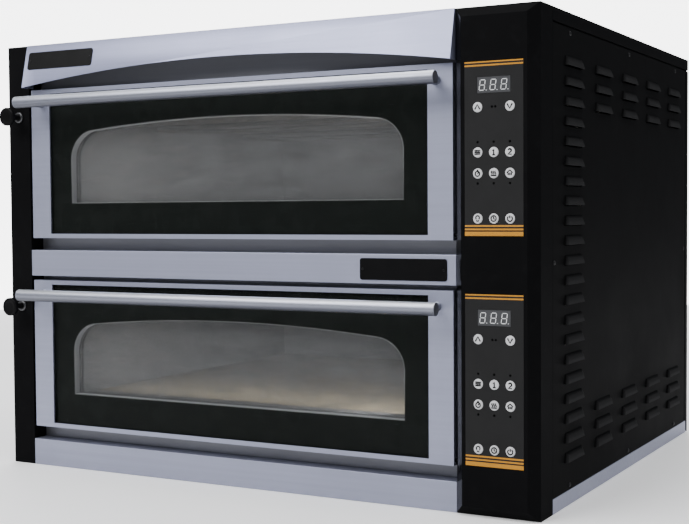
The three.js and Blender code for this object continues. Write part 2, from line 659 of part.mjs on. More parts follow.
function controlPanel() {
  const plate = block([PANEL_X - PANEL_WIDTH / 2, PANEL_X + PANEL_WIDTH / 2],
    [behind(PANEL_BACK), behind(PANEL_BACK + PANEL_THICKNESS)], [PANEL_Z, PANEL_Z + PANEL_HEIGHT]);
  const through = [behind(PANEL_BACK - OVERRUN), behind(PANEL_BACK + PANEL_THICKNESS + OVERRUN)];
  const keyHoles = KEYS.map(([, column, up]) =>
    barAlongY(KEY_RADIUS + GAP, through, keyX(column), PANEL_Z + up, KEY_SIDES));
  const displayHole = block([PANEL_X - DISPLAY_WIDTH / 2, PANEL_X + DISPLAY_WIDTH / 2], through,
    [PANEL_Z + DISPLAY_UP, PANEL_Z + DISPLAY_UP + DISPLAY_HEIGHT]);
  return cut(plate, [...keyHoles, displayHole]);
}

// a cap with a retaining flange behind the panel, centred on the origin's Y axis
function keyCap() {
  const front = behind(PANEL_BACK - KEY_TRAVEL);
  const flangeFront = behind(PANEL_BACK + PANEL_THICKNESS + GAP);
  const flangeBack = flangeFront + KEY_FLANGE;
  const flangeRadius = KEY_RADIUS + 1.2;
  return turned([
    [0, front], [KEY_RADIUS, front], [KEY_RADIUS, flangeFront],
    [flangeRadius, flangeFront], [flangeRadius, flangeBack], [0, flangeBack],
  ], 0, 0, KEY_SIDES);
}

// circuit board behind the keys with the numeral display standing on it
function displayBoard() {
  const boardHalf = 42;
  const boardInset = 5;
  const boardThickness = 1.6;
  return join([
    block([PANEL_X - boardHalf, PANEL_X + boardHalf],
      [behind(BOARD_BACK), behind(BOARD_BACK + boardThickness)],
      [PANEL_Z + boardInset, PANEL_Z + PANEL_HEIGHT - boardInset]),
    block([PANEL_X - DISPLAY_WIDTH / 2 + GAP, PANEL_X + DISPLAY_WIDTH / 2 - GAP],
      [behind(PANEL_BACK + GAP), behind(BOARD_BACK + OVERRUN)],
      [PANEL_Z + DISPLAY_UP + GAP, PANEL_Z + DISPLAY_UP + DISPLAY_HEIGHT - GAP]),
  ]);
}

// flanged sleeve in the column face that guides the vent rod
function ventBush() {
  const bore = VENT_ROD_RADIUS + GAP;
  const sleeve = VENT_HOLE_RADIUS - GAP;
  const collar = 9.5;
  const edge = 1;
  const front = behind(-4);
  const back = behind(10);
  return turned([
    [bore, front], [collar - edge, front], [collar, front + edge], [collar, behind(-GAP)],
    [sleeve, behind(-GAP)], [sleeve, back], [bore, back], [bore, front],
  ], VENT_X, VENT_Z);
}

// pull knob and the long rod that works the steam damper
function ventKnob() {
  const radius = 16;
  const edge = 1.5;
  const front = behind(-34.5);
  const back = behind(-25.5);
  const rodEnd = behind(110);
  return turned([
    [0, front], [radius - edge, front], [radius, front + edge], [radius, back - edge],
    [radius - edge, back], [VENT_ROD_RADIUS, back], [VENT_ROD_RADIUS, rodEnd], [0, rodEnd],
  ], VENT_X, VENT_Z);
}

function buildDeck(deck, up) {
  const chamberRight = BAY_CENTRE + CHAMBER_SIZE / 2;
  const roofElement = heatingElement(CHAMBER_ROOF_Z - 12, chamberRight - GAP);
  const floorElement = heatingElement(CHAMBER_FLOOR_Z + 10, chamberRight - LEDGE_WIDTH - GAP);
  const group = new THREE.Group();
  group.position.z = up;
  group.add(
    toMesh(`${deck}_chamber`, chamber(), CHAMBER_STEEL),
    toMesh(`${deck}_stone`, stone(), STONE),
    toMesh(`${deck}_roof_element`, roofElement, ELEMENT_STEEL),
    toMesh(`${deck}_floor_element`, floorElement, ELEMENT_STEEL),
    toMesh(`${deck}_door_frame`, doorFrame(), STEEL),
    toMesh(`${deck}_door_glass`, doorGlass(), GLASS),
    toMesh(`${deck}_door_liner`, doorLiner(), CHAMBER_STEEL),
    toMesh(`${deck}_door_inner_glass`, doorInnerGlass(), GLASS),
    toMesh(`${deck}_door_handle`, doorHandle(), BRIGHT_ALUMINIUM),
    toMesh(`${deck}_control_panel`, controlPanel(), OVERLAY),
    toMesh(`${deck}_display_board`, displayBoard(), DISPLAY),
    toMesh(`${deck}_vent_bush`, ventBush(), CHROME),
    toMesh(`${deck}_vent_knob`, ventKnob(), BLACK_PLASTIC),
  );
  const cap = keyCap();
  for (const [name, column, height] of KEYS) {
    const key = toMesh(`${deck}_key_${name}`, cap, KEY_PLASTIC);
    key.position.set(keyX(column), 0, PANEL_Z + height);
    group.add(key);
  }
  return group;
}

// ---------------------------------------------------------------- the oven

const oven = new THREE.Group();
oven.add(
  toMesh('base_pan', basePan(), STEEL),
  toMesh('middle_band', middleBand(), STEEL),
  toMesh('front_plate', frontPlate(), DARK_STEEL),
  toMesh('left_column', leftColumn(), BLACK_PAINT),
  toMesh('right_column', rightColumn(), BLACK_PAINT),
  toMesh('visor', visor(), PALE_STEEL),
  toMesh('top_cover', topCover(), BLACK_PAINT),
  toMesh('left_side_panel', sidePanel(1).mirror([1, 0, 0]), BLACK_PAINT),
  toMesh('right_side_panel', sidePanel(0), BLACK_PAINT),
  toMesh('rear_panel', rearPanel(), BLACK_PAINT),
  toMesh('insulation', insulation(), FIBRE),
  toMesh('cable_gland', cableGland(), BLACK_PLASTIC),
  buildDeck('lower', 0),
  buildDeck('upper', DECK_PITCH),
);

export default oven;
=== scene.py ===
import math

import bpy
from mathutils import Matrix, Vector
from mathutils.geometry import tessellate_polygon


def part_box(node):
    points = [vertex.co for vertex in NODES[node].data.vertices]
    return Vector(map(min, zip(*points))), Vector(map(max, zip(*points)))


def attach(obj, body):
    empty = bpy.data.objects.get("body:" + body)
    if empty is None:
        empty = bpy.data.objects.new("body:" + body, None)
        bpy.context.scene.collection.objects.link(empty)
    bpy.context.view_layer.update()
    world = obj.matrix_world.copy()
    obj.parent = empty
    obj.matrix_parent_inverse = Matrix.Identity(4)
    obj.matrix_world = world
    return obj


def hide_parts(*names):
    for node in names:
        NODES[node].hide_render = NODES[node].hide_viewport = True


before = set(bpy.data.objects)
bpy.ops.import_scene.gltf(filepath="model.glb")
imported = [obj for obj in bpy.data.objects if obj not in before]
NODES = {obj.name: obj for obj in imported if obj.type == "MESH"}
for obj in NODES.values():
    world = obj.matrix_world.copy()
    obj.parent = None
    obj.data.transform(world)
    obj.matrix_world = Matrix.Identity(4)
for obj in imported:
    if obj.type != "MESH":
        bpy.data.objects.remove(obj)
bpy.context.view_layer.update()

# Looks of a two-deck countertop pizza oven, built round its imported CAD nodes.
# Everything is in metres: +X is the oven's right, +Y its back and +Z up.

MM = 0.001
DECKS = ("lower", "upper")
PANEL_FACE = 500 * MM    # a side panel's face, from the oven's middle
HOOD_REACH = 6.2 * MM    # how far a louvre's hood stands out of it
COLUMN_WIDTH = 131 * MM  # the control column, and the chamfer round its front
CHAMFER = 15 * MM
FOLD = 0.5 * MM          # how far the bends of thin sheet are rounded, and those of the thicker bands
BAND_FOLD = 0.7 * MM


# ---------------------------------------------------------------- materials

class Graph:
    """One material's node tree, with short calls for the nodes that the finishes share."""

    def __init__(self, name, color, roughness, metallic=0.0):
        self.material = bpy.data.materials.new(name)
        self.material.use_nodes = True
        self.tree = self.material.node_tree
        self.shader = self.tree.nodes["Principled BSDF"]
        self.place = self.node("TexCoord").outputs["Object"]
        self.set("Base Color", (*color, 1))
        self.set("Roughness", roughness)
        self.set("Metallic", metallic)

    def node(self, kind, **inputs):
        """A new shader node with values for its input sockets."""
        made = self.tree.nodes.new("ShaderNode" + kind)
        for name, value in inputs.items():
            made.inputs[name].default_value = value
        return made

    def link(self, source, target):
        """Joins an output to an input socket."""
        self.tree.links.new(source, target)

    def feed(self, socket, value):
        """Gives an input socket a value, or links an output to it."""
        if isinstance(value, bpy.types.NodeSocket):
            self.link(value, socket)
        else:
            socket.default_value = value

    def set(self, name, value):
        """Feeds a socket of the main shader."""
        self.feed(self.shader.inputs[name], value)

    def noise(self, scale, detail=3.0, sharpness=0.5):
        """Noise whose grain is set per metre along X, Y and Z."""
        mapping = self.node("Mapping", Scale=scale)
        texture = self.node("TexNoise", Scale=1.0, Detail=detail, Roughness=sharpness)
        self.link(self.place, mapping.inputs["Vector"])
        self.link(mapping.outputs["Vector"], texture.inputs["Vector"])
        return texture.outputs["Fac"]

    def math(self, operation, first, second):
        """One Math node; each operand is a number or an output."""
        made = self.node("Math")
        made.operation = operation
        self.feed(made.inputs[0], first)
        self.feed(made.inputs[1], second)
        return made.outputs[0]

    def spread(self, source, low, high, start=0.3, end=0.7):
        """Maps start..end of a value to low..high."""
        made = self.node("MapRange")
        made.inputs["From Min"].default_value = start
        made.inputs["From Max"].default_value = end
        made.inputs["To Min"].default_value = low
        made.inputs["To Max"].default_value = high
        self.link(source, made.inputs["Value"])
        return made.outputs["Result"]

    def mix(self, share, first, second):
        """Colour between first and second; each is a colour or an output."""
        made = self.node("Mix")
        made.data_type = "RGBA"
        self.link(share, made.inputs[0])
        # A Mix node has sockets for every data type; these are its colours.
        for socket, value in ((made.inputs[6], first), (made.inputs[7], second)):
            self.feed(socket, value if isinstance(value, bpy.types.NodeSocket) else (*value, 1))
        return made.outputs[2]

    def bump(self, height, distance):
        """Raises the surface by a texture, on top of any bump that it has already."""
        made = self.node("Bump", Strength=1.0, Distance=distance)
        self.link(height, made.inputs["Height"])
        previous = self.shader.inputs["Normal"].links
        if previous:
            self.link(previous[0].from_socket, made.inputs["Normal"])
        self.set("Normal", made.outputs["Normal"])


def brushed_metal(name, color, grain, roughness, metallic=0.8, stain=0.06):
    """Ground sheet metal: fine parallel scratches, soft smudges and a little tone change."""
    graph = Graph(name, color, roughness, metallic)
    scratches = graph.noise(grain, 4.0, 0.6)
    smudges = graph.noise((6, 6, 6), 3.0, 0.55)
    streaks = graph.noise(tuple(value / 9 for value in grain), 2.0, 0.5)
    darker = tuple(value * (1 - stain) for value in color)
    darkest = tuple(value * (1 - 2 * stain) for value in color)
    tone = graph.mix(graph.spread(streaks, 0, 1), color, darker)
    graph.set("Base Color", graph.mix(graph.spread(smudges, 0, 0.6, 0.5, 0.8), tone, darkest))
    ground = graph.spread(scratches, roughness - 0.04, roughness + 0.05)
    graph.set("Roughness", graph.math("ADD", ground, graph.spread(smudges, -0.02, 0.5 * stain, 0.35, 0.75)))
    graph.bump(scratches, 0.01 * MM)
    return graph.material


def handle_metal():
    """Satin bar with a painted highlight along its top and painted shade underneath, set by which way each
    face points, under fine scratches.
    """
    satin = (0.33, 0.345, 0.41)
    painted_shade_under = (0.085, 0.09, 0.112)
    painted_highlight_top = (0.92, 0.95, 1.0)
    scratched = (0.24, 0.24, 0.26)
    graph = Graph("handle_metal", satin, 0.44, 1.0)
    scratches = graph.noise((30, 700, 700), 4.0, 0.6)
    facing = graph.node("SeparateXYZ")
    graph.link(graph.node("TexCoord").outputs["Normal"], facing.inputs[0])
    upwards = facing.outputs["Z"]
    # Painted shade on faces that point down, and a painted highlight on faces that point up.
    under = graph.mix(graph.spread(upwards, 0, 1, -0.5, 0.1), painted_shade_under, satin)
    painted_light = graph.mix(graph.spread(upwards, 0, 1, 0.4, 0.85), under, painted_highlight_top)
    graph.set("Base Color", graph.mix(graph.spread(scratches, 0, 0.25), painted_light, scratched))
    graph.set("Roughness", graph.spread(scratches, 0.4, 0.48))
    graph.bump(scratches, 0.001 * MM)
    return graph.material


def powder_coat(name, color, roughness, painted_light=None):
    """Satin black powder coat: orange-peel grain, thin dust and faint patches.

    The optional paler colour is painted light on the louvre hoods, reached where they stand out furthest
    from a side panel, for the light that the hoods catch."""
    graph = Graph(name, color, roughness)
    peel = graph.noise((520, 520, 520), 2.0)
    patches = graph.noise((5, 5, 5), 4.0, 0.6)
    dust = graph.noise((60, 60, 60), 4.0, 0.65)
    lighter = tuple(value * 1.5 for value in color)
    dusty = tuple(value * 2.4 for value in color)
    tone = graph.mix(graph.spread(patches, 0, 0.7), color, lighter)
    # Painted light: the louvre hoods turn paler the further they stand out from the panel.
    if painted_light:
        sides = graph.node("SeparateXYZ")
        graph.link(graph.place, sides.inputs[0])
        outwards = graph.math("ABSOLUTE", sides.outputs["X"], 0)
        raised = graph.spread(outwards, 0, 1, PANEL_FACE + 1.5 * MM, PANEL_FACE + HOOD_REACH)
        tone = graph.mix(raised, tone, painted_light)
    graph.set("Base Color", graph.mix(graph.spread(dust, 0, 0.4, 0.55, 0.8), tone, dusty))
    graph.set("Roughness", graph.spread(patches, roughness - 0.06, roughness + 0.06))
    graph.set("Specular IOR Level", 0.006)
    graph.bump(peel, 0.04 * MM)
    return graph.material


def moulded_plastic(name, color, roughness, grain=0.03 * MM, gloss=0.3):
    """Moulded or printed plastic: grain of a given depth and slight wear; gloss is its specular level."""
    graph = Graph(name, color, roughness)
    graph.set("Specular IOR Level", gloss)
    texture = graph.noise((1400, 1400, 1400), 2.0)
    wear = graph.noise((35, 35, 35), 4.0, 0.6)
    worn = tuple(min(1.0, value * 1.2) for value in color)
    graph.set("Base Color", graph.mix(graph.spread(wear, 0, 0.6), color, worn))
    graph.set("Roughness", graph.spread(wear, roughness - 0.06, roughness + 0.08))
    graph.bump(texture, grain)
    return graph.material


def baking_stone():
    """Fired cordierite: pale, open grained and scorched in patches."""
    graph = Graph("baking_stone", (0.42, 0.35, 0.23), 0.9)
    grit = graph.noise((700, 700, 700), 4.0, 0.7)
    scorch = graph.noise((7, 7, 7), 5.0, 0.65)
    cloud = graph.noise((28, 28, 28), 4.0, 0.6)
    base = graph.mix(graph.spread(cloud, 0, 1), (0.46, 0.38, 0.25), (0.36, 0.29, 0.19))
    burnt = graph.mix(graph.spread(scorch, 0, 0.75, 0.55, 0.8), base, (0.10, 0.065, 0.04))
    graph.set("Base Color", graph.mix(graph.spread(grit, 0, 0.5, 0.5, 0.75), burnt, (0.62, 0.55, 0.42)))
    graph.bump(grit, 0.4 * MM)
    return graph.material


def heater_metal():
    """Oxidised heater sheath: dull grey and blotched."""
    graph = Graph("heater_metal", (0.17, 0.165, 0.16), 0.6, 0.6)
    scale = graph.noise((90, 90, 90), 4.0, 0.65)
    graph.set("Base Color", graph.mix(graph.spread(scale, 0, 1), (0.18, 0.175, 0.17), (0.14, 0.12, 0.105)))
    graph.set("Roughness", graph.spread(scale, 0.5, 0.75))
    graph.bump(graph.noise((1500, 1500, 1500)), 0.05 * MM)
    return graph.material


def fibre_wool():
    """Mineral fibre: cream and matted, with its strands along Y."""
    graph = Graph("fibre_wool", (0.72, 0.68, 0.58), 0.95)
    strands = graph.noise((900, 120, 600), 5.0, 0.7)
    graph.set("Base Color", graph.mix(graph.spread(strands, 0, 1), (0.60, 0.56, 0.46), (0.80, 0.77, 0.68)))
    graph.bump(strands, 2 * MM)
    return graph.material


def door_glass(name, haze):
    """Coated oven glass seen thin: clear but for a grey film with smears; haze is its share."""
    graph = Graph(name, (1, 1, 1), 0.03)
    smears = graph.noise((14, 14, 40), 4.0, 0.6)
    clear = graph.node("BsdfTransparent", Color=(0.89, 0.895, 0.895, 1))
    film = graph.node("BsdfDiffuse", Color=(0.20, 0.20, 0.203, 1))
    clouded = graph.node("MixShader")
    graph.link(graph.spread(smears, 0.8 * haze, 1.2 * haze), clouded.inputs[0])
    graph.link(clear.outputs[0], clouded.inputs[1])
    graph.link(film.outputs[0], clouded.inputs[2])
    graph.link(clouded.outputs[0], graph.tree.nodes["Material Output"].inputs["Surface"])
    return graph.material


def glowing(name, color, strength, face=(0.8, 0.8, 0.8)):
    """A lit plastic lens, a little uneven."""
    graph = Graph(name, face, 0.3)
    spots = graph.noise((300, 300, 300), 2.0)
    graph.set("Emission Color", (*color, 1))
    graph.set("Emission Strength", graph.spread(spots, strength * 0.9, strength * 1.1))
    return graph.material


STEEL = brushed_metal("satin_steel", (0.325, 0.34, 0.44), (14, 1500, 1500), 0.46)
# A lighter copy of the satin steel, for the visor: painted light, standing in for the light that its upward
# lean catches.
PAINTED_LIGHT_STEEL = brushed_metal("pale_steel", (0.335, 0.352, 0.495), (14, 1500, 1500), 0.46)
# A darker copy of the satin steel, for the front plate: painted shade, standing in for the shade it lies in,
# recessed behind the doors and under the visor.
PAINTED_SHADE_STEEL = brushed_metal("dark_steel", (0.18, 0.183, 0.20), (14, 1500, 1500), 0.5)
CHAMBER_STEEL = brushed_metal("chamber_steel", (0.33, 0.33, 0.34), (40, 40, 900), 0.66, 0.2)
HANDLE_METAL = handle_metal()
CHROME = brushed_metal("chrome", (0.28, 0.28, 0.29), (200, 200, 200), 0.3, 1.0, 0.04)
DULL_CHROME = brushed_metal("dull_chrome", (0.09, 0.09, 0.094), (200, 200, 200), 0.4, 1.0, 0.04)
DARK_SCREW = brushed_metal("dark_screw", (0.012, 0.012, 0.013), (900, 900, 900), 0.45, 0.5, 0.1)
BLACK_PAINT = powder_coat("black_paint", (0.0042, 0.0042, 0.0045), 0.5)
# The louvred side panels' paint, with painted light on the hoods.
LOUVRED_PAINT = powder_coat("louvred_paint", (0.0045, 0.0045, 0.0047), 0.5, (0.021, 0.021, 0.0215))
LACQUER = moulded_plastic("black_lacquer", (0.002, 0.002, 0.0021), 0.12, 0.002 * MM, gloss=0.5)
BLACK_PLASTIC = moulded_plastic("black_plastic", (0.0035, 0.0035, 0.0038), 0.36, gloss=0.06)
OVERLAY = moulded_plastic("panel_overlay", (0.0185, 0.0185, 0.0188), 0.5, gloss=0.02)
KEY_PLASTIC = moulded_plastic("key_plastic", (0.52, 0.52, 0.53), 0.45)
DISPLAY_GREY = moulded_plastic("display_grey", (0.052, 0.053, 0.056), 0.3, gloss=0.1)
ORANGE_INK = moulded_plastic("orange_ink", (0.43, 0.195, 0.027), 0.5, gloss=0.03)
ICON_INK = moulded_plastic("icon_ink", (0.0012, 0.0012, 0.0012), 0.6, gloss=0.005)
BORDER_INK = moulded_plastic("border_ink", (0.0078, 0.0093, 0.0082), 0.25, 0.002 * MM, gloss=0.05)
EDGE_LINE = moulded_plastic("edge_line", (0.17, 0.172, 0.172), 0.4, gloss=0.1)
GASKET = moulded_plastic("gasket_cord", (0.03, 0.028, 0.026), 0.9, 0.3 * MM)
STONE = baking_stone()
HEATER = heater_metal()
FIBRE = fibre_wool()
OUTER_GLASS = door_glass("outer_glass", 0.006)
INNER_GLASS = door_glass("inner_glass", 0.45)
DIGIT_LIGHT = glowing("digit_light", (0.92, 0.95, 1.0), 0.28, (0.6, 0.6, 0.6))
LAMP_LIGHT = glowing("lamp_light", (1.0, 0.93, 0.84), 2.0)


# ---------------------------------------------------------------- pieces

def piece(name, vertices, faces, material, body, smooth=False):
    """A new object that rides on a body, its vertices in the oven's own frame."""
    mesh = bpy.data.meshes.new(name)
    mesh.from_pydata([tuple(v) for v in vertices], [], faces)
    mesh.materials.append(material)
    mesh.polygons.foreach_set("use_smooth", [smooth] * len(mesh.polygons))
    mesh.update()
    made = bpy.data.objects.new(name, mesh)
    bpy.context.scene.collection.objects.link(made)
    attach(made, body)
    return made


def soften(made, width, segments=2, weld=False):
    """Rounds an object's sharp edges; CAD nodes are welded and their flat faces merged first."""
    if weld:
        made.modifiers.new("weld", "WELD").merge_threshold = 0.01 * MM
        flat = made.modifiers.new("flat_faces", "DECIMATE")
        flat.decimate_type = "DISSOLVE"
        flat.angle_limit = math.radians(0.5)
    bevel = made.modifiers.new("edges", "BEVEL")
    bevel.width = width
    bevel.segments = segments
    bevel.limit_method = "ANGLE"
    bevel.angle_limit = math.radians(28)
    return made


def thicken(made):
    """Gives a printed skin a film's thickness, so that it is a closed body."""
    film = made.modifiers.new("film", "SOLIDIFY")
    film.thickness = 0.04 * MM
    film.offset = 0
    return made


# The faces of a block whose eight corners are listed with the third of its directions changing fastest.
BLOCK_FACES = [(0, 1, 3, 2), (4, 6, 7, 5), (0, 4, 5, 1), (2, 3, 7, 6), (0, 2, 6, 4), (1, 5, 7, 3)]


def box_piece(name, low, high, material, body, edge=0.0):
    """A plain block between two corners, its edges rounded by edge."""
    corners = [(x, y, z) for x in (low[0], high[0]) for y in (low[1], high[1]) for z in (low[2], high[2])]
    made = piece(name, corners, BLOCK_FACES, material, body)
    return soften(made, edge) if edge else made


def lathe_mesh(profile, segments):
    """Vertices and faces of a body turned about Y from (radius, y) points; rings close on the axis."""
    vertices = []
    rings = []
    for radius, y in profile:
        if radius == 0:
            rings.append([len(vertices)])
            vertices.append((0.0, y, 0.0))
            continue
        rings.append(list(range(len(vertices), len(vertices) + segments)))
        for step in range(segments):
            angle = 2 * math.pi * step / segments
            vertices.append((radius * math.cos(angle), y, radius * math.sin(angle)))
    faces = []
    for first, second in zip(rings, rings[1:]):
        for step in range(segments):
            ahead = (step + 1) % segments
            corners = [first[step % len(first)], first[ahead % len(first)],
                       second[ahead % len(second)], second[step % len(second)]]
            faces.append(tuple(dict.fromkeys(corners)))
    return vertices, faces


def rounded_corners(points, radius):
    """The profile with each inner corner replaced by a small curve, its two ends kept."""
    steps = 4
    longest_share = 0.45  # of a side that one corner may take
    rounded = [points[0]]
    for before, corner, after in zip(points, points[1:], points[2:]):
        corner_v = Vector(corner)
        to_before = Vector(before) - corner_v
        to_after = Vector(after) - corner_v
        reach = min(radius, to_before.length * longest_share, to_after.length * longest_share)
        start = corner_v + to_before.normalized() * reach
        end = corner_v + to_after.normalized() * reach
        for step in range(steps + 1):
            t = step / steps
            rounded.append(tuple((1 - t) ** 2 * start + 2 * t * (1 - t) * corner_v + t * t * end))
    rounded.append(points[-1])
    return rounded


def turned(name, profile, centre, material, body, fillet=0.6 * MM, segments=64, turn=None):
    """A turned piece about an axis along Y through centre; turn swings that axis."""
    vertices, faces = lathe_mesh(rounded_corners(profile, fillet), segments)
    place = Matrix.Translation(centre) @ (turn or Matrix.Identity(4))
    return piece(name, [place @ Vector(v) for v in vertices], faces, material, body, smooth=True)


def ribbon(points, width, closed=False):
    """A flat strip of even width along an X-Z path."""
    count = len(points)
    vertices = []
    for index, point in enumerate(points):
        before = points[index - 1] if index or closed else point
        after = points[(index + 1) % count] if index + 1 < count or closed else point
        along = (Vector(after) - Vector(before)).normalized()
        side = Vector((-along.y, along.x)) * width / 2
        vertices += [Vector(point) + side, Vector(point) - side]
    last = count if closed else count - 1
    faces = [(2 * i, 2 * i + 1, (2 * i + 3) % (2 * count), (2 * i + 2) % (2 * count)) for i in range(last)]
    return vertices, faces


def arc(x, z, radius, start, end, steps=16):
    """Points on an arc in degrees, anticlockwise from +X."""
    angles = [math.radians(start + (end - start) * i / steps) for i in range(steps + 1)]
    return [(x + radius * math.cos(a), z + radius * math.sin(a)) for a in angles]


def ink(name, strokes, width, x, y, z, material, body):
    """Thin printed lines on a face at depth y, centred on x and z; strokes are X-Z paths in mm."""
    vertices = []
    faces = []
    for path in strokes:
        closed = len(path) > 3 and path[0] == path[-1]
        strip, quads = ribbon(path[:-1] if closed else path, width, closed)
        start = len(vertices)
        vertices += [(x + v.x * MM, y, z + v.y * MM) for v in strip]
        faces += [tuple(start + i for i in quad) for quad in quads]
    return thicken(piece(name, vertices, faces, material, body))


def plate(name, outline, holes, y, material, body):
    """A printed skin in the X-Z plane with holes in it."""
    loops = [outline] + holes
    flat = [[Vector((px, pz, 0)) for px, pz in loop] for loop in loops]
    points = [point for loop in loops for point in loop]
    triangles = tessellate_polygon(flat)
    corners = [(px, y, pz) for px, pz in points]
    return thicken(piece(name, corners, [tuple(t) for t in triangles], material, body))


def rounded_plate(name, centre, size, radius, material, body, tilt=0.0):
    """A thin plate with rounded corners, facing -Y and leaned back by tilt."""
    width, depth, height = size
    outline = []
    for sx, sz, start in ((1, 1, 0), (-1, 1, 90), (-1, -1, 180), (1, -1, 270)):
        outline += arc(sx * (width / 2 - radius), sz * (height / 2 - radius), radius, start, start + 90, 6)
    count = len(outline)
    front = [Vector((px, -depth, pz)) for px, pz in outline]
    back = [Vector((px, 0, pz)) for px, pz in outline]
    faces = [tuple(range(count)), tuple(range(2 * count - 1, count - 1, -1))]
    faces += [(i, i + count, (i + 1) % count + count, (i + 1) % count) for i in range(count)]
    place = Matrix.Translation(centre) @ Matrix.Rotation(tilt, 4, "X")
    made = piece(name, [place @ v for v in front + back], faces, material, body)
    return soften(made, 0.4 * MM)


def tube(name, points, radius, material, body, closed=False):
    """A round bar or cord along a path of points."""
    data = bpy.data.curves.new(name, "CURVE")
    data.dimensions = "3D"
    data.bevel_depth = radius
    data.bevel_resolution = 3
    data.use_fill_caps = True
    spline = data.splines.new("POLY")
    spline.points.add(len(points) - 1)
    for target, point in zip(spline.points, points):
        target.co = (*point, 1)
    spline.use_cyclic_u = closed
    data.materials.append(material)
    made = bpy.data.objects.new(name, data)
    bpy.context.scene.collection.objects.link(made)
    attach(made, body)
    return made


# ---------------------------------------------------------------- finishes of the CAD nodes

def dress(name, material, edge=0.0, segments=2):
    """A CAD node's finish, with its sharp edges rounded by edge."""
    node = NODES[name]
    for slot in node.material_slots:
        slot.material = material
    if edge:
        soften(node, edge, segments, weld=True)


dress("base_pan", STEEL, BAND_FOLD)
dress("middle_band", STEEL, BAND_FOLD)
# The front plate's steel is painted shade: a darker copy of the satin steel.
dress("front_plate", PAINTED_SHADE_STEEL, 0.4 * MM)
dress("left_column", BLACK_PAINT, BAND_FOLD, 3)
dress("right_column", BLACK_PAINT, BAND_FOLD, 3)
# The visor's steel is painted light: a lighter copy of the satin steel.
dress("visor", PAINTED_LIGHT_STEEL, FOLD)
dress("top_cover", BLACK_PAINT, FOLD, 3)
dress("left_side_panel", LOUVRED_PAINT, FOLD, 3)
dress("right_side_panel", LOUVRED_PAINT, FOLD, 3)
dress("rear_panel", BLACK_PAINT, FOLD)
dress("insulation", FIBRE)
for deck in DECKS:
    dress(f"{deck}_chamber", CHAMBER_STEEL, FOLD)
    dress(f"{deck}_stone", STONE, 1.2 * MM, 3)
    dress(f"{deck}_door_frame", STEEL, BAND_FOLD)
    dress(f"{deck}_door_glass", OUTER_GLASS)
    dress(f"{deck}_door_liner", CHAMBER_STEEL, 0.4 * MM)
    dress(f"{deck}_door_inner_glass", INNER_GLASS)
    dress(f"{deck}_control_panel", OVERLAY, 0.3 * MM)
    dress(f"{deck}_display_board", DISPLAY_GREY, 0.3 * MM)


# ---------------------------------------------------------------- handles, knobs, heaters

def door_handle(deck):
    """Round bar with softened ends on two posts, each with a foot on the door stile."""
    low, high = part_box(f"{deck}_door_handle")
    body = f"{deck}_door"
    radius = (high.z - low.z) / 2
    centre_y = low.y + radius
    centre_z = (low.z + high.z) / 2
    bar_length = high.x - low.x
    along_x = Matrix.Rotation(-math.pi / 2, 4, "Z")
    bar = turned(f"{deck}_handle_bar", [(0, 0), (radius, 0), (radius, bar_length), (0, bar_length)],
                 (low.x, centre_y, centre_z), HANDLE_METAL, body, 1.2 * MM, 96, along_x)
    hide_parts(f"{deck}_door_handle")
    post_radius = 7 * MM
    foot_radius = post_radius + 0.5 * MM
    post_inset = 20 * MM
    reach = high.y - centre_y
    for side, x in (("left", low.x + post_inset), ("right", high.x - post_inset)):
        profile = [(0, 0), (post_radius, 0), (post_radius, reach - 3 * MM),
                   (foot_radius, reach - 2.6 * MM), (foot_radius, reach), (0, reach)]
        post = turned(f"{deck}_handle_post_{side}", profile, (x, centre_y, centre_z), HANDLE_METAL, body)
        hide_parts(f"{deck}_door_handle")


def vent_knob(deck):
    """Pull knob with a dished face and a long rod, in a chromed collar."""
    low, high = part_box(f"{deck}_vent_knob")
    centre = ((low.x + high.x) / 2, 0, (low.z + high.z) / 2)
    radius = (high.z - low.z) / 2
    face = low.y
    rod = 5 * MM
    profile = [(0, face + 0.9 * MM), (radius * 0.55, face + 0.8 * MM), (radius * 0.82, face),
               (radius, face + 1.2 * MM), (radius, face + 7.4 * MM), (radius * 0.8, face + 9 * MM),
               (rod * 1.5, face + 9.6 * MM), (rod, face + 11.5 * MM), (rod, high.y), (0, high.y)]
    knob = turned(f"{deck}_vent_pull_knob", profile, centre, BLACK_PLASTIC, f"{deck}_vent", 1.2 * MM)
    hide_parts(f"{deck}_vent_knob")
    low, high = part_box(f"{deck}_vent_bush")
    outer = (high.z - low.z) / 2
    front = low.y
    seat = front + 3.7 * MM
    bore = rod + 0.3 * MM
    sleeve = 7 * MM
    profile = [(bore, high.y), (bore, front), (outer - 1.5 * MM, front), (outer, front + 1.5 * MM),
               (outer, seat), (sleeve, seat), (sleeve, high.y), (bore, high.y)]
    bush = turned(f"{deck}_vent_collar", profile, centre, DULL_CHROME, "casing", 0.5 * MM)
    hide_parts(f"{deck}_vent_bush")


def heater_path(low, high):
    """Centre line of a heater: four runs joined by half turns, both ends at the right."""
    turns = 3
    steps = 12
    radius = (high.z - low.z) / 2
    bend = (high.y - low.y - 2 * radius) / (2 * turns)
    z = (low.z + high.z) / 2
    left = low.x + radius + bend
    right = high.x - 2 * bend - radius
    first = low.y + radius
    points = [(high.x, first, z)]
    for turn in range(turns):
        x, side = (right, 1) if turn % 2 else (left, -1)
        y = first + 2 * bend * turn
        for step in range(steps + 1):
            angle = math.pi * step / steps
            points.append((x + side * bend * math.sin(angle), y + bend * (1 - math.cos(angle)), z))
    points.append((high.x, first + 2 * bend * turns, z))
    return points, radius


def heaters(deck):
    """Bent bars under a chamber's roof and over its floor."""
    for where in ("roof", "floor"):
        low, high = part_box(f"{deck}_{where}_element")
        points, radius = heater_path(low, high)
        bar = tube(f"{deck}_{where}_heater", points, radius, HEATER, "casing")
        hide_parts(f"{deck}_{where}_element")


# ---------------------------------------------------------------- doors and chambers

